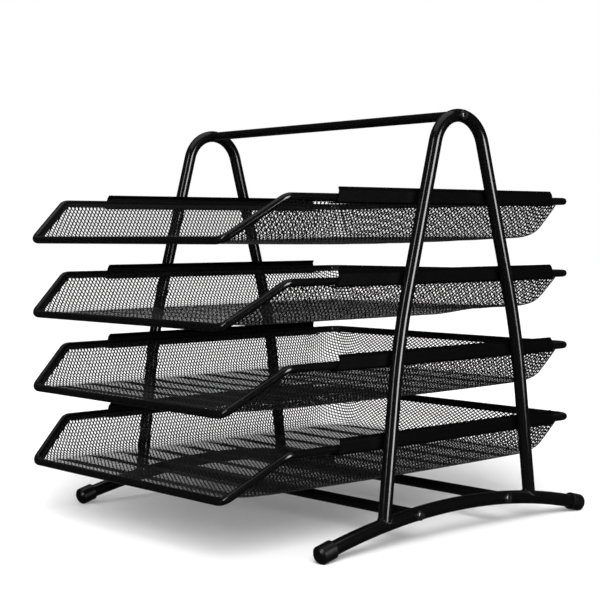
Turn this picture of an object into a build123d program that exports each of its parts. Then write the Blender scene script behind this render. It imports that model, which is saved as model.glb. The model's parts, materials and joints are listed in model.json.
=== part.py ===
from build123d import *
from math import asin, cos, radians, sin, sqrt, tan
import os

# Four-tier letter tray sorter: bent tube stand with a carry handle, and four
# wire-rimmed sheet trays that slide forward on folded channel runners.
# Millimetres. +X is the right-hand side, -Y the front, +Z up.
# The origin is on the desk, in the middle of the footprint.

# stand
span = 288.0                # between the centre planes of the two side frames
handle_clearance = 60.4     # from the top rim wire up to the handle, at their centres
apex_radius = 25.8          # centre line of the top bend
upper_lean = 15.1           # degrees off upright, above the knee
lower_lean = 6.7            # degrees off upright, below the knee
knee_height = 143.7
knee_radius = 500.0
frame_tube = 9.5
frame_wall = 1.0

# base
rail_tube = 10.0
rail_wall = 1.0
rail_arch_radius = 556.0
rail_half_length = 139.0    # to the outer face of a foot cap
cap_diameter = 13.0
cap_length = 13.0
cap_end_thickness = 2.5
pad_depth = 0.85            # of cap flattened where it stands on the desk
cap_edge = 1.6
cap_collar_edge = 0.5
cap_bore_gap = 0.2
cross_rod_diameter = 8.0
cross_rod_position = 47.1   # from the middle of the rail

# handle and screws
handle_diameter = 7.0
screw_diameter = 4.0
screw_head_diameter = 7.6
screw_head_height = 2.1
screw_head_edge = 0.9
screw_depth = 14.0          # of thread inside a rod end
screw_hole_gap = 0.1
fit_gap = 0.1               # left at coped ends

# tiers
tier_count = 4
lowest_rim_height = 73.1
tier_pitch = 56.6

# channel runners
runner_sheet = 1.0
runner_bend = 0.6
runner_lip_height = 4.6     # from the rim wire's centre to the bend of the upper lip
runner_lip_rise = 2.2
runner_lip_reach = 2.4
runner_front = 116.0
runner_front_cut = 2.2      # how far the front end leans back up to the lip
runner_rear = 113.5
runner_rear_cut = 1.4

# trays
wire_diameter = 5.5
wire_bend = 9.5
wire_side_gap = 0.4         # rim wire to runner web
wire_rest_gap = 0.4         # rim wire to runner ledge
tray_front = 196.5          # front wire, forward of the side frames
tray_rear = 137.1           # rear wire, behind the side frames
tray_depth = 28.5           # rim wire to front wire, both at their centres
scoop_run = 39.2            # how far back the slanted front ends start
scoop_draw = 19.2           # how far in from each side the rim wire ends up in front
wall_lean = 20.5            # degrees off upright of the side and rear walls
wall_gap = 0.15             # rim wire to the outside of a wall
basket_sheet = 0.7
basket_floor_bend = 9.5
basket_corner_bend = 11.0

# sizes that follow from those above
half_span = span / 2
wire_radius = wire_diameter / 2
stand_y = (tray_front - tray_rear) / 2
wall_run = tray_depth * tan(radians(wall_lean))
web_outer = half_span - frame_tube / 2
web_inner = web_outer - runner_sheet
wire_half_width = web_inner - wire_side_gap - wire_radius
front_wire_half_width = wire_half_width - scoop_draw
wall_inset = (wire_radius + wall_gap) / cos(radians(wall_lean))
wall_half_width = wire_half_width - wall_inset
floor_half_width = wall_half_width - wall_run
ledge_top = -(wire_radius + wire_rest_gap)
ledge_edge = (
    wall_half_width + ledge_top * tan(radians(wall_lean))
    + wire_rest_gap / cos(radians(wall_lean))
)
apex_height = lowest_rim_height + (tier_count - 1) * tier_pitch + handle_clearance
apex_rise = apex_radius * (1 / sin(radians(upper_lean)) - 1)
peak_height = apex_height + apex_rise
knee_offset = (peak_height - knee_height) * tan(radians(upper_lean))
rail_end = rail_half_length - cap_end_thickness
rail_tilt = asin(rail_half_length / rail_arch_radius)
rail_drop = rail_arch_radius * (1 - cos(rail_tilt))
rail_crown_height = rail_drop + cap_diameter / 2 * cos(rail_tilt) - pad_depth
front_y = stand_y - tray_front
rear_y = stand_y + tray_rear
scoop_y = front_y + scoop_run
floor_rear_y = rear_y - wall_inset - wall_run

# the plane of the right-hand side frame: its x runs to the rear, its y up
side_plane = Plane((half_span, stand_y, 0), x_dir=(0, 1, 0), z_dir=(1, 0, 0))
middle_plane = side_plane.offset(-half_span)
front_to_rear = Plane.XZ.offset(-stand_y)


def rail_height(offset):
    """Height of the arched rail's centre line at a distance from its middle."""
    return rail_crown_height - rail_arch_radius + sqrt(rail_arch_radius**2 - offset**2)


cross_rod_height = rail_height(cross_rod_position)
cross_rod_points = [
    (-cross_rod_position, cross_rod_height),
    (cross_rod_position, cross_rod_height),
]
screw_hole_depth = rail_tube / 2 + screw_depth + 1


def foot_point():
    """Where a lower leg's centre line meets the rail's, found by closing in on it."""
    height = 0.0
    for _ in range(20):
        offset = knee_offset + (knee_height - height) * tan(radians(lower_lean))
        height = rail_height(offset)
    return offset, height


def frame_tube_along(radius, bore=0.0):
    """Right-hand frame's bent tube, standing on the rail's centre line."""
    foot_offset, foot_height = foot_point()
    with BuildPart() as tube:
        with BuildLine(side_plane) as bend_line:
            FilletPolyline(
                (-foot_offset, foot_height),
                (-knee_offset, knee_height),
                (0, peak_height),
                (knee_offset, knee_height),
                (foot_offset, foot_height),
                radius=[knee_radius, apex_radius, knee_radius],
            )
        path = bend_line.wires()[0]
        with BuildSketch(Plane(path @ 0, z_dir=path % 0)):
            Circle(radius)
            if bore:
                Circle(bore, mode=Mode.SUBTRACT)
        sweep(path=path)
    return tube


def rail_along(radius, bore=0.0):
    """Right-hand base rail, a shallow arch."""
    with BuildPart() as rail:
        with BuildLine(side_plane) as arch_line:
            ThreePointArc(
                (-rail_end, rail_height(rail_end)),
                (0, rail_crown_height),
                (rail_end, rail_height(rail_end)),
            )
        path = arch_line.wires()[0]
        with BuildSketch(Plane(path @ 0, z_dir=path % 0)):
            Circle(radius)
            if bore:
                Circle(bore, mode=Mode.SUBTRACT)
        sweep(path=path)
    return rail


def wire_along(radius, height):
    """Tray rim: one closed loop of bent wire with a lowered, slanted front."""
    with BuildPart() as wire:
        with BuildLine() as rim_line:
            FilletPolyline(
                (0, rear_y, height),
                (wire_half_width, rear_y, height),
                (wire_half_width, scoop_y, height),
                (front_wire_half_width, front_y, height - tray_depth),
                (0, front_y, height - tray_depth),
                radius=wire_bend,
            )
        path = rim_line.wires()[0]
        with BuildSketch(Plane(path @ 0, z_dir=path % 0)):
            Circle(radius)
        sweep(path=path)
        mirror(about=Plane.YZ)
    return wire


def pan_block(height, inset):
    """Solid below a tray's rim, moved in at the floor and walls by the inset.

    Its floor narrows from the start of the scoop and runs on past the front wire.
    """
    narrowing = scoop_draw - wall_run
    floor_inset = inset * (1 / cos(radians(wall_lean)) - tan(radians(wall_lean)))
    with BuildPart() as block:
        with BuildSketch(Plane.XY.offset(height - tray_depth + inset)):
            with BuildLine():
                Polyline(
                    (0, front_y - scoop_run),
                    (floor_half_width - 2 * narrowing, front_y - scoop_run),
                    (floor_half_width, scoop_y),
                    (floor_half_width, floor_rear_y),
                    (0, floor_rear_y),
                )
                mirror(about=Plane.YZ)
            make_face()
            offset(amount=-floor_inset, kind=Kind.INTERSECTION)
        extrude(amount=tray_depth, taper=-wall_lean)
        upright = block.edges().filter_by(lambda edge: abs((edge % 0.5).Z) > 0.3)
        fillet(upright.group_by(Axis.Y)[-1], basket_corner_bend - inset)
        fillet(block.edges().group_by(Axis.Z)[0], basket_floor_bend - inset)
    return block


def basket_under(height):
    """Sheet pan inside the rim wire, cut off in front along the wire's slant."""
    with BuildPart() as basket:
        add(pan_block(height, 0).part)
        add(pan_block(height, basket_sheet).part, mode=Mode.SUBTRACT)
        split(bisect_by=scoop_plane(height), keep=Keep.TOP)
        add(wire_along(wire_radius + fit_gap, height).part, mode=Mode.SUBTRACT)
    return basket


def scoop_plane(height):
    """Slanted plane through the front wire and both diagonals, facing the rear."""
    return Plane(
        (0, front_y, height - tray_depth),
        x_dir=(1, 0, 0),
        z_dir=(0, tray_depth, -scoop_run),
    )


def runner_at(height):
    """Right-hand channel: ledge below the rim wire, web, and a lip leaning slightly in."""
    lip_edge = web_outer - runner_lip_reach
    with BuildPart() as runner:
        with BuildSketch(Plane((0, stand_y, height), x_dir=(1, 0, 0), z_dir=(0, -1, 0))):
            with BuildLine():
                FilletPolyline(
                    (ledge_edge, ledge_top),
                    (web_inner, ledge_top),
                    (web_inner, runner_lip_height),
                    (lip_edge, runner_lip_height + runner_lip_rise),
                    radius=runner_bend,
                )
                offset(amount=runner_sheet, side=Side.RIGHT)
            make_face()
        extrude(amount=max(runner_front, runner_rear), both=True)
        split(bisect_by=runner_end(height, runner_front, -runner_front_cut), keep=Keep.TOP)
        split(bisect_by=runner_end(height, -runner_rear, runner_rear_cut), keep=Keep.BOTTOM)
    return runner


def runner_end(height, reach, lean):
    """Cutting plane of a runner's end: its foot stands at reach, its top leans back."""
    rise = runner_lip_height - ledge_top
    return Plane(
        (0, stand_y - reach, height + ledge_top - runner_sheet),
        x_dir=(1, 0, 0),
        z_dir=(0, rise, lean),
    )


def side_frame():
    """Right-hand frame: tube coped onto its rail and drilled for the handle screw."""
    with BuildPart() as frame:
        add(frame_tube_along(frame_tube / 2, frame_tube / 2 - frame_wall).part)
        add(rail_along(rail_tube / 2 + fit_gap).part, mode=Mode.SUBTRACT)
        with BuildSketch(side_plane):
            with Locations((0, apex_height)):
                Circle(screw_diameter / 2 + screw_hole_gap)
        extrude(amount=frame_tube, both=True, mode=Mode.SUBTRACT)
    return frame


def base_rail():
    """Right-hand rail, drilled for the cross rod screws."""
    with BuildPart() as rail:
        add(rail_along(rail_tube / 2, rail_tube / 2 - rail_wall).part)
        with BuildSketch(side_plane):
            with Locations(*cross_rod_points):
                Circle(screw_diameter / 2 + screw_hole_gap)
        extrude(amount=rail_tube, both=True, mode=Mode.SUBTRACT)
    return rail


def foot_cap():
    """Right-hand rear cap, moulded over the rail end, with a flat pad on the desk."""
    end = rail_along(rail_tube / 2).faces().sort_by(Axis.Y)[-1]
    end_plane = Plane(end.center(), z_dir=end.normal_at())
    with BuildPart() as cap:
        with BuildSketch(end_plane.offset(cap_end_thickness)):
            Circle(cap_diameter / 2)
        extrude(amount=-cap_length)
        chamfer(cap.edges().sort_by(Axis.Y)[-1], cap_edge)
        chamfer(cap.edges().sort_by(Axis.Y)[0], cap_collar_edge)
        with BuildSketch(end_plane):
            Circle(rail_tube / 2 + cap_bore_gap)
        extrude(amount=-cap_length, mode=Mode.SUBTRACT)
        split(bisect_by=Plane.XY, keep=Keep.TOP)
    return cap


def rod_across(diameter, point, sleeve):
    """Round bar across the stand, coped to a tube at each end and drilled for screws."""
    with BuildPart() as rod:
        with BuildSketch(middle_plane):
            with Locations(point):
                Circle(diameter / 2)
        extrude(amount=half_span, both=True)
        add(sleeve.part, mode=Mode.SUBTRACT)
        add(mirrored(sleeve, Plane.YZ).part, mode=Mode.SUBTRACT)
        with BuildSketch(middle_plane.offset(half_span)):
            with Locations(point):
                Circle(screw_diameter / 2 + screw_hole_gap)
        extrude(amount=-screw_hole_depth, mode=Mode.SUBTRACT)
        with BuildSketch(middle_plane.offset(-half_span)):
            with Locations(point):
                Circle(screw_diameter / 2 + screw_hole_gap)
        extrude(amount=screw_hole_depth, mode=Mode.SUBTRACT)
    return rod


def screws_through(tube, points):
    """Pan-head screws from outside through both tubes into the rod ends."""
    with BuildPart() as screws:
        with BuildSketch(side_plane.offset(tube / 2)):
            with Locations(*points):
                Circle(screw_head_diameter / 2)
        extrude(amount=screw_head_height)
        chamfer(screws.edges().group_by(Axis.X)[-1], screw_head_edge)
        with BuildSketch(side_plane.offset(tube / 2)):
            with Locations(*points):
                Circle(screw_diameter / 2)
        extrude(amount=-tube - screw_depth)
        mirror(about=Plane.YZ)
    return screws


def mirrored(source, plane):
    """The same piece on the other side of a plane."""
    with BuildPart() as copy:
        mirror(source.part, about=plane)
    return copy


def keep(piece, name):
    """Label a finished piece and write its file."""
    piece.part.label = name
    export_step(piece.part, f"parts/{name}.step")


os.makedirs("parts", exist_ok=True)

# side frames and base rails
right_side_frame = side_frame()
keep(right_side_frame, "right_side_frame")
keep(mirrored(right_side_frame, Plane.YZ), "left_side_frame")
right_base_rail = base_rail()
keep(right_base_rail, "right_base_rail")
keep(mirrored(right_base_rail, Plane.YZ), "left_base_rail")

# foot caps
rear_right_foot_cap = foot_cap()
front_right_foot_cap = mirrored(rear_right_foot_cap, front_to_rear)
keep(rear_right_foot_cap, "rear_right_foot_cap")
keep(front_right_foot_cap, "front_right_foot_cap")
keep(mirrored(rear_right_foot_cap, Plane.YZ), "rear_left_foot_cap")
keep(mirrored(front_right_foot_cap, Plane.YZ), "front_left_foot_cap")

# rods and their screws
apex_sleeve = frame_tube_along(frame_tube / 2 + fit_gap)
rail_sleeve = rail_along(rail_tube / 2 + fit_gap)
front_rod_point, rear_rod_point = cross_rod_points
keep(rod_across(handle_diameter, (0, apex_height), apex_sleeve), "handle_rod")
keep(rod_across(cross_rod_diameter, front_rod_point, rail_sleeve), "front_cross_rod")
keep(rod_across(cross_rod_diameter, rear_rod_point, rail_sleeve), "rear_cross_rod")
keep(screws_through(frame_tube, [(0, apex_height)]), "handle_screws")
keep(screws_through(rail_tube, cross_rod_points), "cross_rod_screws")

# runners and trays, numbered from the top
for number in range(1, tier_count + 1):
    rim_height = lowest_rim_height + (tier_count - number) * tier_pitch
    runner = runner_at(rim_height)
    keep(runner, f"tier_{number}_right_runner")
    keep(mirrored(runner, Plane.YZ), f"tier_{number}_left_runner")
    keep(wire_along(wire_radius, rim_height), f"tray_{number}_rim")
    keep(basket_under(rim_height), f"tray_{number}_basket")
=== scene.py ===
import bpy
import bmesh
import json
import numpy as np
from math import radians
from mathutils import Matrix, Vector


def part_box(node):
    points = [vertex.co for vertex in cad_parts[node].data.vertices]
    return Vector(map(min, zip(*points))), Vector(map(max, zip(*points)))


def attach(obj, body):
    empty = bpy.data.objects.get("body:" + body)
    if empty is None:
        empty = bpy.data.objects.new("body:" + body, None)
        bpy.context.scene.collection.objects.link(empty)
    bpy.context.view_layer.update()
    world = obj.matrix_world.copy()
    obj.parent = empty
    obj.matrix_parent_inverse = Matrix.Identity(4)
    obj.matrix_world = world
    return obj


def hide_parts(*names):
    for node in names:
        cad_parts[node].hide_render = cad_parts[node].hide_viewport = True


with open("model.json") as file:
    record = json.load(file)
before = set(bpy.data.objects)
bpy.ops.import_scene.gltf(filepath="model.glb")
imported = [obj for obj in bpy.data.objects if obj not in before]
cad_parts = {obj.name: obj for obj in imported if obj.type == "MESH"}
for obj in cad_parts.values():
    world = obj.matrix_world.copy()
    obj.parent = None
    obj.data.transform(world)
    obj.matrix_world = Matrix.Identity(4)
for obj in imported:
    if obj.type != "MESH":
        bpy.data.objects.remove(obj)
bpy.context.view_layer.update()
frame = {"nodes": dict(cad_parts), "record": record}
print("frame loaded")

mm = 0.001
nodes = frame["nodes"]


# a Principled material with its constants straight on the shader's sockets
def newCoat(name, **sockets):
    coat = bpy.data.materials.new(name)
    coat.use_nodes = True
    shader = coat.node_tree.nodes["Principled BSDF"]
    for socket, value in sockets.items():
        shader.inputs[socket.replace("_", " ")].default_value = value
    return coat, coat.node_tree, shader


powder = {
    "peelSize": 1.8 * mm,
    "grainSize": 0.3 * mm,
    "grainDepth": 0.003 * mm,
    "blueness": 1.05,           # blue over red and green
}


# bump from two noises on object coordinates: broad orange peel, then a fine grain
def addPeel(tree, shader, peelDepth):
    place = tree.nodes.new("ShaderNodeTexCoord")
    peel = tree.nodes.new("ShaderNodeTexNoise")
    grain = tree.nodes.new("ShaderNodeTexNoise")
    peel.inputs["Scale"].default_value = 1 / powder["peelSize"]
    grain.inputs["Scale"].default_value = 1 / powder["grainSize"]
    peelBump = tree.nodes.new("ShaderNodeBump")
    grainBump = tree.nodes.new("ShaderNodeBump")
    peelBump.inputs["Distance"].default_value = peelDepth
    grainBump.inputs["Distance"].default_value = powder["grainDepth"]
    tree.links.new(place.outputs["Object"], peel.inputs["Vector"])
    tree.links.new(place.outputs["Object"], grain.inputs["Vector"])
    tree.links.new(peel.outputs["Fac"], peelBump.inputs["Height"])
    tree.links.new(grain.outputs["Fac"], grainBump.inputs["Height"])
    tree.links.new(peelBump.outputs["Normal"], grainBump.inputs["Normal"])
    tree.links.new(grainBump.outputs["Normal"], shader.inputs["Normal"])
    return peel


# roughness that wanders between two values with a noise, which mostly keeps to 0.3 to 0.7
def varyRoughness(tree, shader, noise, low, high):
    spread = tree.nodes.new("ShaderNodeMapRange")
    spread.inputs["From Min"].default_value = 0.3
    spread.inputs["From Max"].default_value = 0.7
    spread.inputs["To Min"].default_value = low
    spread.inputs["To Max"].default_value = high
    tree.links.new(noise.outputs["Fac"], spread.inputs["Value"])
    tree.links.new(spread.outputs["Result"], shader.inputs["Roughness"])


# baked black powder: its shade, lowest and highest roughness, depth of peel and gloss
def powderCoat(name, shade, low, high, peelDepth, shine=0.5):
    tone = (shade, shade, shade * powder["blueness"], 1)
    coat, tree, shader = newCoat(name, Base_Color=tone, IOR=1.5, Specular_IOR_Level=shine)
    peel = addPeel(tree, shader, peelDepth)
    varyRoughness(tree, shader, peel, low, high)
    return coat


tubeCoat = powderCoat("tubeCoat", 0.002, 0.13, 0.18, 0.003 * mm)
wireCoat = powderCoat("wireCoat", 0.002, 0.14, 0.19, 0.003 * mm)
runnerCoat = powderCoat("runnerCoat", 0.001, 0.30, 0.38, 0.002 * mm, shine=0.12)
meshCoat = powderCoat("meshCoat", 0.004, 0.22, 0.32, 0.004 * mm)
screwCoat = powderCoat("screwCoat", 0.006, 0.16, 0.24, 0.006 * mm)
footPlastic = powderCoat("footPlastic", 0.002, 0.28, 0.36, 0.006 * mm)

slotCoats = {
    "tube_coat": tubeCoat,
    "wire_coat": wireCoat,
    "runner_coat": runnerCoat,
    "mesh_coat": meshCoat,
    "screw_coat": screwCoat,
    "foot_plastic": footPlastic,
}
for part in frame["record"]["subparts"]:
    coat = slotCoats[part["material_slot"]]
    for materialSlot in nodes[part["node"]].material_slots:
        materialSlot.material = coat
print("coats on the frame")


# the four corners of each cell of a grid of points, wrapped round where it closes
def gridQuads(rows, columns, closedRows=False, closedColumns=False):
    number = np.arange(rows * columns).reshape(rows, columns)
    if closedRows:
        number = np.concatenate([number, number[:1]], axis=0)
    if closedColumns:
        number = np.concatenate([number, number[:, :1]], axis=1)
    return np.stack([
        number[:-1, :-1], number[1:, :-1], number[1:, 1:], number[:-1, 1:],
    ], axis=-1).reshape(-1, 4)


# a piece from its points and quads, doubles merged, in its place on a body
def makePiece(name, points, quads, slot, body, smooth=None):
    mesh = bpy.data.meshes.new(name)
    mesh.from_pydata(points.reshape(-1, 3).tolist(), [], quads.tolist())
    piece = bpy.data.objects.new(name, mesh)
    bpy.context.scene.collection.objects.link(piece)
    work = bmesh.new()
    work.from_mesh(mesh)
    bmesh.ops.remove_doubles(work, verts=work.verts, dist=1e-7)
    loose = [vert for vert in work.verts if not vert.link_faces]
    bmesh.ops.delete(work, geom=loose, context="VERTS")
    work.to_mesh(mesh)
    work.free()
    if smooth:
        mesh.shade_smooth()
        mesh.set_sharp_from_angle(angle=radians(smooth))
    mesh.materials.append(slotCoats[slot])
    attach(piece, body)
    print(name, len(mesh.loops) - 2 * len(mesh.polygons), "triangles")
    return piece


basket = {
    "lean": radians(20.5),      # side and rear walls, off upright
    "depth": 28.5 * mm,         # rim wire's centre to the floor
    "scoopRun": 39.2 * mm,      # how far back the slanted front ends reach
    "narrowing": 8.55 * mm,     # how far the floor draws in over that run, each side
    "crease": 5.0 * mm,         # softness of the bend where it starts
    "wire": 5.5 * mm,
    "floorBend": 11.0 * mm,
    "floorCorner": 24.0 * mm,   # radius of the flat floor's rear corners
    "rimCorner": 6.0 * mm,      # and of the walls' corner up at the rim
    "sheet": 0.10 * mm,
    "tilt": 0.10 * mm,          # rear edge of a strand above its front edge
    "hemWidth": 2.8 * mm,
    "hemSheet": 0.7 * mm,
}
# pitch of each tray's openings and width of its strands, and how its floor lies: waves from
# front to rear, a sag in the middle, and a rise of the right-hand half towards the rear
trays = {
    1: {"longWay": 5.0 * mm, "shortWay": 3.45 * mm, "strand": 0.92 * mm,
        "wave": 0.15 * mm, "sag": 4.3 * mm, "hump": 0.0 * mm},
    2: {"longWay": 5.0 * mm, "shortWay": 3.45 * mm, "strand": 0.92 * mm,
        "wave": 0.76 * mm, "sag": 0.0 * mm, "hump": 2.8 * mm},
    3: {"longWay": 5.0 * mm, "shortWay": 2.95 * mm, "strand": 0.92 * mm,
        "wave": 0.66 * mm, "sag": 2.8 * mm, "hump": 0.0 * mm},
    4: {"longWay": 5.0 * mm, "shortWay": 2.95 * mm, "strand": 0.92 * mm,
        "wave": 0.76 * mm, "sag": 2.8 * mm, "hump": 0.0 * mm},
}
ripples = {
    "length": 29 * mm,
    "flatness": 0.97,           # 1 makes the waves plain zigzags, less rounds their crests
    "edge": 20,                 # the higher, the nearer to the sides the waves die out
    "humpStart": 200 * mm,      # behind the front wire
    "humpRun": 50 * mm,
}


# wall profile from the start of the floor bend: an arc, then a straight lean
def wallProfile(run, rise):
    bend = basket["floorBend"]
    arcLength = bend * rise
    onArc = np.minimum(run, arcLength)
    onWall = np.maximum(run - arcLength, 0)
    out = bend * np.sin(onArc / bend) + onWall * np.cos(rise)
    up = bend * (1 - np.cos(onArc / bend)) + onWall * np.sin(rise)
    return out, up


# half width of the flat floor: full behind the scoop's start, then less in a straight
# line, with the corner between the two rounded off by a hyperbola
def flatHalf(along, pan):
    ahead = pan["scoopStart"] - along
    soft = (ahead + np.sqrt(ahead ** 2 + basket["crease"] ** 2)) / 2
    return pan["half"] - basket["narrowing"] * soft / basket["scoopRun"]


# how far a place on the floor lies above the plane of it: rounded zigzag waves, a sag that
# is a parabola from front to rear and half as deep along the sides, and the hump
def floorLift(across, along, pan):
    behind = along - pan["front"]
    sideways = np.clip(across / pan["half"], -1, 1)
    swing = ripples["flatness"] * np.cos(2 * np.pi * behind / ripples["length"])
    ripple = -pan["wave"] * np.arcsin(swing) * 2 / np.pi
    ripple = ripple * (1 - sideways ** ripples["edge"])
    middle = 1 - 0.5 * sideways ** 6
    share = np.clip(2 * behind / (pan["flatRear"] - pan["front"]) - 1, -1, 1)
    bow = -pan["sag"] * middle * (1 - share ** 2)
    rear = np.clip((behind - ripples["humpStart"]) / ripples["humpRun"], 0, 1)
    right = np.maximum(sideways, 0) ** 2
    return ripple + bow + pan["hump"] * right * rear ** 2 * (3 - 2 * rear)


# the pan from its flat pattern: the floor stays flat, each edge folds up along wallProfile,
# and round a corner the distance from the floor's rounded edge runs up the wall while the
# angle round it runs along that level's outline: straight, a quarter turn, straight. The
# turn's radius goes from the floor's to the rim's with the height to the power 0.6
def foldPan(across, along, pan):
    floorCorner, rimCorner = basket["floorCorner"], basket["rimCorner"]
    half = flatHalf(along, pan)
    side = np.abs(across) - half
    back = along - pan["flatRear"]
    sideOut, sideUp = wallProfile(np.maximum(side, 0), pan["rise"])
    backOut, backUp = wallProfile(np.maximum(back, 0), pan["rise"])
    x = np.minimum(np.abs(across), half) + sideOut
    y = np.minimum(along, pan["flatRear"]) + backOut
    z = sideUp + backUp
    # the same two distances, from the centre of the floor corner's arc
    side = side + floorCorner
    back = back + floorCorner
    reach = np.hypot(np.maximum(side, 0), np.maximum(back, 0))
    inCorner = (side > 0) & (back > 0) & (reach > floorCorner)
    turn = np.arctan2(np.maximum(back, 0), np.maximum(side, 1e-9)) / (np.pi / 2)
    out, up = wallProfile(np.maximum(reach - floorCorner, 0), pan["rise"])
    share = np.clip(up / basket["depth"], 0, 1) ** 0.6
    radius = floorCorner + (rimCorner - floorCorner) * share
    total = floorCorner + out
    straight = total - radius
    length = 2 * straight + radius * np.pi / 2
    walked = turn * length
    angle = np.clip((walked - straight) / radius, 0, np.pi / 2)
    cornerX = straight + radius * np.cos(angle) - np.maximum(walked - length + straight, 0)
    cornerY = straight - np.maximum(straight - walked, 0) + radius * np.sin(angle)
    x = np.where(inCorner, half - floorCorner + cornerX, x)
    y = np.where(inCorner, pan["flatRear"] - floorCorner + cornerY, y)
    z = np.where(inCorner, up, z)
    fade = np.clip(1 - z / basket["depth"], 0, 1)
    z = z + floorLift(across, along, pan) * fade + pan["floor"]
    return np.stack([np.sign(across) * x, y, z], axis=-1)


# the sheet's upward normal and its front-to-rear direction, from small steps on the pattern
def panFrame(u, v, pan):
    step = 0.05 * mm
    alongWay = foldPan(u, v + step, pan) - foldPan(u, v - step, pan)
    acrossWay = foldPan(u + step, v, pan) - foldPan(u - step, v, pan)
    normal = np.cross(acrossWay, alongWay)
    normal /= np.linalg.norm(normal, axis=-1, keepdims=True)
    alongWay /= np.linalg.norm(alongWay, axis=-1, keepdims=True)
    return normal, alongWay


# where a tray's pan lies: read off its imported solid, then moved in to the sheet's middle
def panOf(number):
    low, high = (np.array(corner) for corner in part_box(f"tray_{number}_basket"))
    middle = basket["hemSheet"] / 2
    rise = np.pi / 2 - basket["lean"]
    wallRun = (basket["depth"] - middle) * np.tan(basket["lean"])
    inset = basket["floorBend"] * np.tan(rise / 2)
    wallIn = middle / np.cos(basket["lean"])
    wireLow = np.array(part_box(f"tray_{number}_rim")[0])
    front = wireLow[1] + basket["wire"] / 2
    return {
        "rise": rise,
        "floor": low[2] + middle,
        "front": front,
        "scoopStart": front + basket["scoopRun"],
        "half": high[0] - wallIn - wallRun - inset,
        "flatRear": high[1] - wallIn - wallRun - inset,
        "top": basket["floorBend"] * rise + (
            basket["depth"] - middle - basket["floorBend"] * (1 - np.cos(rise))
        ) / np.sin(rise),
        "wave": trays[number]["wave"],
        "sag": trays[number]["sag"],
        "hump": trays[number]["hump"],
    }


# the pattern's front edge at a width: as far back as the slanted scoop is at the height
# that the side wall has there, found in a few steps because the floor narrows with it
def frontEdge(u, pan):
    edge = pan["front"] + np.zeros_like(u)
    for _ in range(4):
        out, up = wallProfile(np.maximum(np.abs(u) - flatHalf(edge, pan), 0), pan["rise"])
        edge = pan["front"] + basket["scoopRun"] * up / basket["depth"]
    return edge


# expanded steel: zigzag strands across the tray. A row's points lie half a row pitch to the
# rear and half to the front of its line in turn, and the next row's the other way round, so
# the two touch at every second point and leave a six-sided opening between
def buildMesh(number):
    pan = panOf(number)
    longWay, shortWay = trays[number]["longWay"], trays[number]["shortWay"]
    margin = basket["hemWidth"] / 2
    top = pan["top"] - margin
    columns = int((pan["half"] + top) / (longWay / 2)) + 1
    across = np.arange(-columns, columns + 1) * longWay / 2
    rowPitch = shortWay / 2
    rows = int((pan["flatRear"] + top - pan["front"]) / rowPitch) + 2
    along = pan["front"] + (np.arange(rows) + 0.25) * rowPitch
    parity = (np.arange(-columns, columns + 1)[None, :] + np.arange(rows)[:, None]) % 2
    u = np.broadcast_to(across, (rows, across.size)).copy()
    v = along[:, None] + np.where(parity == 0, 1, -1) * rowPitch / 2
    # distance outside the floor's edge, from the corner arc's centre where that is nearer
    corner = basket["floorCorner"]
    half = flatHalf(v, pan)
    side = np.abs(u) - half + corner
    back = v - pan["flatRear"] + corner
    reach = np.hypot(np.maximum(side, 0), np.maximum(back, 0)) - corner
    inside = (reach < top) & (v > frontEdge(u, pan) + margin)
    nextIn = np.pad(inside[:, 1:], ((0, 0), (0, 1)))
    lastIn = np.pad(inside[:, :-1], ((0, 0), (1, 0)))
    # points just outside come back to the middle of the hem
    over = ~inside & (nextIn | lastIn)
    pull = np.where(reach > top, (top + corner) / np.maximum(reach + corner, 1e-9), 1)
    u = np.where(over & (side > 0), np.sign(u) * (half - corner + side * pull), u)
    v = np.where(over & (back > 0), pan["flatRear"] - corner + back * pull, v)
    v = np.where(over, np.maximum(v, frontEdge(u, pan) + margin), v)
    ending = over & ~(nextIn & lastIn)
    place = foldPan(u, v, pan)
    normal, alongWay = panFrame(u, v, pan)
    slope = np.arctan2(shortWay, longWay)
    wide = trays[number]["strand"] / 2 / np.cos(slope) * ~ending[..., None]
    thick = basket["sheet"] / 2 * ~ending[..., None]
    tilt = basket["tilt"] / 2 * ~ending[..., None]
    corners = np.stack([
        place - alongWay * wide - normal * (thick + tilt),
        place + alongWay * wide - normal * (thick - tilt),
        place + alongWay * wide + normal * (thick + tilt),
        place - alongWay * wide + normal * (thick - tilt),
    ], axis=-2)
    count = np.arange(rows * across.size * 4).reshape(rows, across.size, 4)
    first, second = count[:, :-1], count[:, 1:]
    quads = np.stack([
        np.stack([first[..., k], first[..., (k + 1) % 4],
                  second[..., (k + 1) % 4], second[..., k]], axis=-1)
        for k in range(4)
    ], axis=-2)
    used = inside[:, :-1] | inside[:, 1:]
    halves = {"front": slice(0, rows // 2), "rear": slice(rows // 2, rows)}
    for name, part in halves.items():
        chosen = quads[part][used[part]].reshape(-1, 4)
        piece = makePiece(f"tray_{number}_{name}_mesh", corners, chosen,
                          "mesh_coat", f"tray_{number}")
        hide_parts(f"tray_{number}_basket")


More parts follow.
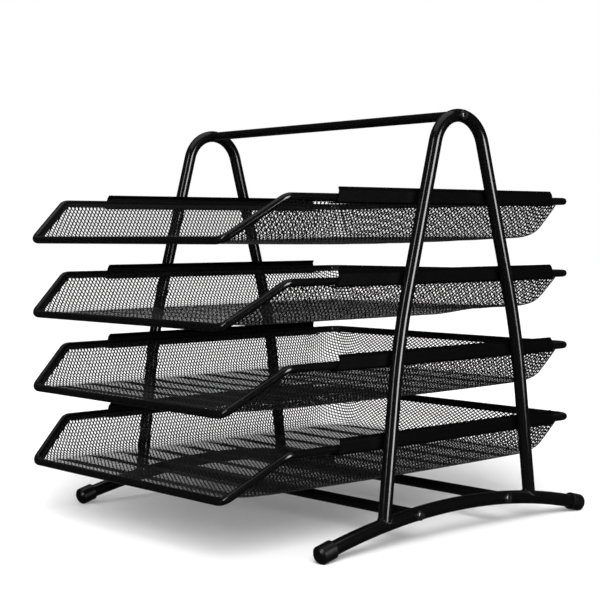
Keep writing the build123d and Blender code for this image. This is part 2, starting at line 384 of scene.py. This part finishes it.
# plain edge strip all round inside the rim wire: the pattern's outline, one strip's width
# inwards of it, given the sheet's thickness
def buildHem(number):
    pan = panOf(number)
    top = pan["top"]
    rise = np.linspace(0, top, 24)
    slantV = pan["front"] + basket["scoopRun"] * wallProfile(rise, pan["rise"])[1] / basket["depth"]
    slantU = flatHalf(slantV, pan) + rise
    corner = basket["floorCorner"]
    centreU, centreV = pan["half"] - corner, pan["flatRear"] - corner
    sideV = np.linspace(slantV[-1], centreV, 60)[1:]
    turn = np.linspace(0, np.pi / 2, 33)[1:]
    right = np.concatenate([
        np.stack([np.linspace(0, slantU[0], 40)[:-1], np.full(39, pan["front"])], axis=-1),
        np.stack([slantU, slantV], axis=-1),
        np.stack([flatHalf(sideV, pan) + top, sideV], axis=-1),
        np.stack([centreU + (corner + top) * np.cos(turn),
                  centreV + (corner + top) * np.sin(turn)], axis=-1),
        np.stack([np.linspace(centreU, 0, 40)[1:], np.full(39, pan["flatRear"] + top)], axis=-1),
    ])
    left = right[1:-1][::-1] * (-1, 1)
    outline = np.concatenate([right, left])
    ahead = np.roll(outline, -1, axis=0) - outline
    ahead /= np.linalg.norm(ahead, axis=-1, keepdims=True)
    ahead = ahead + np.roll(ahead, 1, axis=0)
    ahead /= np.linalg.norm(ahead, axis=-1, keepdims=True)
    inward = np.stack([-ahead[:, 1], ahead[:, 0]], axis=-1)
    shares = np.array([0.0, 0.5, 1.0])
    strip = outline[:, None] + inward[:, None] * (shares * basket["hemWidth"])[None, :, None]
    place = foldPan(strip[..., 0], strip[..., 1], pan)
    normal, _ = panFrame(strip[..., 0], strip[..., 1], pan)
    lower = place - normal * basket["hemSheet"] / 2
    upper = place + normal * basket["hemSheet"] / 2
    ring = np.concatenate([lower, upper[:, ::-1]], axis=1)
    quads = gridQuads(*ring.shape[:2], closedRows=True, closedColumns=True)
    piece = makePiece(f"tray_{number}_hem", ring, quads, "mesh_coat", f"tray_{number}", smooth=40)
    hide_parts(f"tray_{number}_basket")


for number in trays:
    buildMesh(number)
    buildHem(number)


screw = {
    "head": 3.8 * mm,           # radius
    "height": 2.1 * mm,
    "edge": 0.7 * mm,
    "shank": 2.0 * mm,          # radius
    "depth": 14.0 * mm,
    "fullness": 2.2,            # 2 makes the dome an ellipsoid, more squares its shoulder
    "shoulder": 0.15 * mm,      # step from the dome out to the full radius
    "armWidth": 0.95 * mm,
    "armLength": 2.1 * mm,
    "armSlope": 0.3 * mm,       # from an arm's edge in to its full depth
    "armFade": 1.2 * mm,        # and from its end
    "recess": 1.1 * mm,
}


# domed screws lying across the stand: a profile turned round the axis, whose dome stands up
# by the root of 1 less the share of the radius to a power, with a cross pressed into it,
# deepest in the middle and fading to nothing at the ends of its arms
def buildScrews(name, centres):
    turns = np.linspace(0, 2 * np.pi, 64, endpoint=False)
    across = np.linspace(0, 1, 26)
    flank = screw["head"] - screw["shoulder"]
    dome = screw["edge"] + (screw["height"] - screw["edge"]) * np.sqrt(
        np.clip(1 - (across * 0.985) ** screw["fullness"], 0, 1))
    reach = np.concatenate([across * flank, [screw["head"], screw["head"], screw["shank"],
                                             screw["shank"], 0]])
    height = np.concatenate([dome, [screw["edge"] * 0.6, 0, 0, -screw["depth"], -screw["depth"]]])
    side = reach[:, None] * np.cos(turns)
    up = reach[:, None] * np.sin(turns)
    armX = np.clip((screw["armWidth"] - 2 * np.abs(up)) / screw["armSlope"], 0, 1)
    armY = np.clip((screw["armWidth"] - 2 * np.abs(side)) / screw["armSlope"], 0, 1)
    ends = np.clip((screw["armLength"] - reach) / screw["armFade"], 0, 1)[:, None]
    press = screw["recess"] * ends * np.maximum(armX, armY)
    out = height[:, None] - press
    for index, (x, y, z) in enumerate(centres):
        sign = np.sign(x)
        spot = np.stack([x + sign * (out - screw["height"]), y + sign * side, z + up], axis=-1)
        quads = gridQuads(reach.size, turns.size, closedColumns=True)
        piece = makePiece(f"{name}_{index + 1}", spot, quads, "screw_coat", "stand", smooth=50)
        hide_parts(name)


low, high = (np.array(corner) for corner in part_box("handle_screws"))
middle = (low + high) / 2
buildScrews("handle_screws", [(low[0], middle[1], middle[2]), (high[0], middle[1], middle[2])])
low, high = (np.array(corner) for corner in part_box("cross_rod_screws"))
middle = (low + high) / 2
rodFront, rodRear = low[1] + screw["head"], high[1] - screw["head"]
buildScrews("cross_rod_screws", [
    (x, y, middle[2]) for x in (low[0], high[0]) for y in (rodFront, rodRear)
])

weld = {
    "leg": 4.75 * mm,           # radius
    "rail": 5.0 * mm,           # radius
    "lean": radians(6.7),       # of the leg, off upright
    "fall": radians(8.0),       # of the rail under it, off level
    "bead": 0.75 * mm,          # radius
    "ripples": 26,
    "rippleShare": 0.14,        # of the radius
}


# weld bead round a leg's foot: a thin rippled tube along the saddle line where the leg's
# cylinder meets the rail's
def buildBead(name, foot, outward):
    turn = np.linspace(0, 2 * np.pi, 120, endpoint=False)
    x = weld["leg"] * np.cos(turn)
    y = weld["leg"] * np.sin(turn)
    saddle = np.sqrt(weld["rail"] ** 2 - x ** 2) / np.cos(weld["fall"])
    z = saddle - outward * y * np.tan(weld["fall"])
    y = y / np.cos(weld["lean"]) - outward * z * np.tan(weld["lean"])
    path = np.stack([x, y, z], axis=-1) + foot
    ahead = np.roll(path, -1, axis=0) - np.roll(path, 1, axis=0)
    ahead /= np.linalg.norm(ahead, axis=-1, keepdims=True)
    side = np.cross(ahead, (0, 0, 1.0))
    side /= np.linalg.norm(side, axis=-1, keepdims=True)
    over = np.cross(side, ahead)
    ring = np.linspace(0, 2 * np.pi, 10, endpoint=False)
    size = weld["bead"] * (1 + weld["rippleShare"] * np.sin(weld["ripples"] * turn))
    size = size[:, None, None]
    tube = path[:, None] + size * (
        side[:, None] * np.cos(ring)[None, :, None] + over[:, None] * np.sin(ring)[None, :, None])
    quads = gridQuads(turn.size, ring.size, closedRows=True, closedColumns=True)
    makePiece(name, tube, quads, "tube_coat", "stand", smooth=60)


for side in ("left", "right"):
    low, high = (np.array(corner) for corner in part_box(f"{side}_side_frame"))
    reach = weld["leg"] / np.cos(weld["lean"])
    drop = np.sqrt(weld["rail"] ** 2 - weld["leg"] ** 2)
    x = (low[0] + high[0]) / 2
    buildBead(f"{side}_front_weld", (x, low[1] + reach, low[2] - drop), -1)
    buildBead(f"{side}_rear_weld", (x, high[1] - reach, low[2] - drop), 1)


stage = {
    "floorSize": 14.0,
    "floorShade": 0.86,
    "floorGlow": 0.10,
    "keyPower": 4.7,            # broad soft light from the front right, for the floor
    "keySoftness": 35.0,        # degrees
    "keyWay": (-0.62, 0.54, -0.57),
    "topSize": 2.6,
    "topPower": 14.0,
    "fill": 0.45,               # light from all round
    "mirrored": 0.015,          # what glossy surfaces see of the room
    "behind": 0.08,             # and of the white backdrop past the object
    "behindBearing": 228.6,     # degrees round from the front
    "behindEdge": (0.55, 0.90), # cosines between which the backdrop fades in
}

floorMesh = bpy.data.meshes.new("floor")
reach = stage["floorSize"] / 2
floorMesh.from_pydata(
    [(-reach, -reach, 0), (reach, -reach, 0), (reach, reach, 0), (-reach, reach, 0)],
    [], [(0, 1, 2, 3)])
floor = bpy.data.objects.new("floor", floorMesh)
bpy.context.scene.collection.objects.link(floor)
floorPaint, tree, shader = newCoat("floorPaint", Roughness=0.8)
shade = stage["floorShade"]
shader.inputs["Base Color"].default_value = (shade, shade, shade, 1)
shader.inputs["Emission Color"].default_value = (1, 1, 1, 1)
shader.inputs["Emission Strength"].default_value = stage["floorGlow"]
floorMesh.materials.append(floorPaint)
floor.visible_glossy = False


# a rectangular soft light that faces a point
def softLight(name, place, aim, width, height, power):
    lamp = bpy.data.lights.new(name, "AREA")
    lamp.shape = "RECTANGLE"
    lamp.size, lamp.size_y = width, height
    lamp.energy = power
    holder = bpy.data.objects.new(name, lamp)
    holder.location = place
    holder.rotation_euler = (Vector(aim) - Vector(place)).to_track_quat("-Z", "Y").to_euler()
    bpy.context.scene.collection.objects.link(holder)
    return holder


key = bpy.data.lights.new("keyLight", "SUN")
key.energy = stage["keyPower"]
key.angle = radians(stage["keySoftness"])
keyHolder = bpy.data.objects.new("keyLight", key)
keyHolder.rotation_euler = Vector(stage["keyWay"]).to_track_quat("-Z", "Y").to_euler()
keyHolder.visible_glossy = False
bpy.context.scene.collection.objects.link(keyHolder)

# strips seen in the gloss only: bearing round from the front, distance, height, width,
# tallness, power
strips = {
    "rightStrip": (95.0, 1.8, 0.35, 0.75, 1.1, 34.0),
    "leftStrip": (13.5, 1.8, 0.75, 0.22, 1.3, 9.0),
}
size = stage["topSize"]
softLight("topLight", (0.0, -0.2, 2.2), (0, 0, 0), size, size, stage["topPower"])
for name, (bearing, away, height, width, tall, power) in strips.items():
    spot = (away * np.sin(radians(bearing)), -away * np.cos(radians(bearing)), height)
    strip = softLight(name, spot, (0, 0, 0.15), width, tall, power)
    strip.visible_diffuse = False

# the backdrop is white to the camera and a soft fill on the floor, and what the gloss sees
# of it is nearly black, a little lighter straight behind the object
world = bpy.data.worlds.new("backdrop")
world.use_nodes = True
bpy.context.scene.world = world
tree = world.node_tree
path = tree.nodes.new("ShaderNodeLightPath")
heading = tree.nodes.new("ShaderNodeTexCoord")
facing = tree.nodes.new("ShaderNodeVectorMath")
facing.operation = "DOT_PRODUCT"
behind = radians(stage["behindBearing"])
facing.inputs[1].default_value = (np.sin(behind), -np.cos(behind), 0)
spread = tree.nodes.new("ShaderNodeMapRange")
spread.interpolation_type = "SMOOTHSTEP"
spread.inputs["From Min"].default_value = stage["behindEdge"][0]
spread.inputs["From Max"].default_value = stage["behindEdge"][1]
spread.inputs["To Min"].default_value = stage["mirrored"]
spread.inputs["To Max"].default_value = stage["behind"]
tree.links.new(heading.outputs["Generated"], facing.inputs[0])
tree.links.new(facing.outputs["Value"], spread.inputs["Value"])
lit = tree.nodes["Background"]
lit.inputs["Color"].default_value = (1, 1, 1, 1)
lit.inputs["Strength"].default_value = stage["fill"]
last = lit.outputs["Background"]
for ray, strength in (("Is Glossy Ray", spread.outputs["Result"]), ("Is Camera Ray", None)):
    shown = tree.nodes.new("ShaderNodeBackground")
    shown.inputs["Color"].default_value = (1, 1, 1, 1)
    if strength:
        tree.links.new(strength, shown.inputs["Strength"])
    mix = tree.nodes.new("ShaderNodeMixShader")
    tree.links.new(path.outputs[ray], mix.inputs["Fac"])
    tree.links.new(last, mix.inputs[1])
    tree.links.new(shown.outputs["Background"], mix.inputs[2])
    last = mix.outputs["Shader"]
tree.links.new(last, tree.nodes["World Output"].inputs["Surface"])

# a long lens from the front right, level with the top tray
eye = {
    "bearing": 48.642,          # degrees round from the front towards the right-hand side
    "distance": 1.11437,        # over the desk, from the origin
    "height": 0.21919,
    "heading": 48.515,
    "pitch": -0.681,
    "roll": -0.245,
    "lens": 85.27,
    "shift": -0.0842,
}
camera = bpy.data.cameras.new("camera")
camera.lens = eye["lens"]
camera.shift_y = eye["shift"]
cameraHolder = bpy.data.objects.new("camera", camera)
bearing = radians(eye["bearing"])
spot = Matrix.Translation((
    eye["distance"] * np.sin(bearing),
    -eye["distance"] * np.cos(bearing),
    eye["height"],
))
turn = Matrix.Rotation(radians(eye["heading"]), 4, "Z")
nod = Matrix.Rotation(radians(90 + eye["pitch"]), 4, "X")
roll = Matrix.Rotation(radians(eye["roll"]), 4, "Z")
cameraHolder.matrix_world = spot @ turn @ nod @ roll
bpy.context.scene.collection.objects.link(cameraHolder)
bpy.context.scene.camera = cameraHolder
bpy.context.scene.view_settings.view_transform = "Standard"
print("camera and light set")
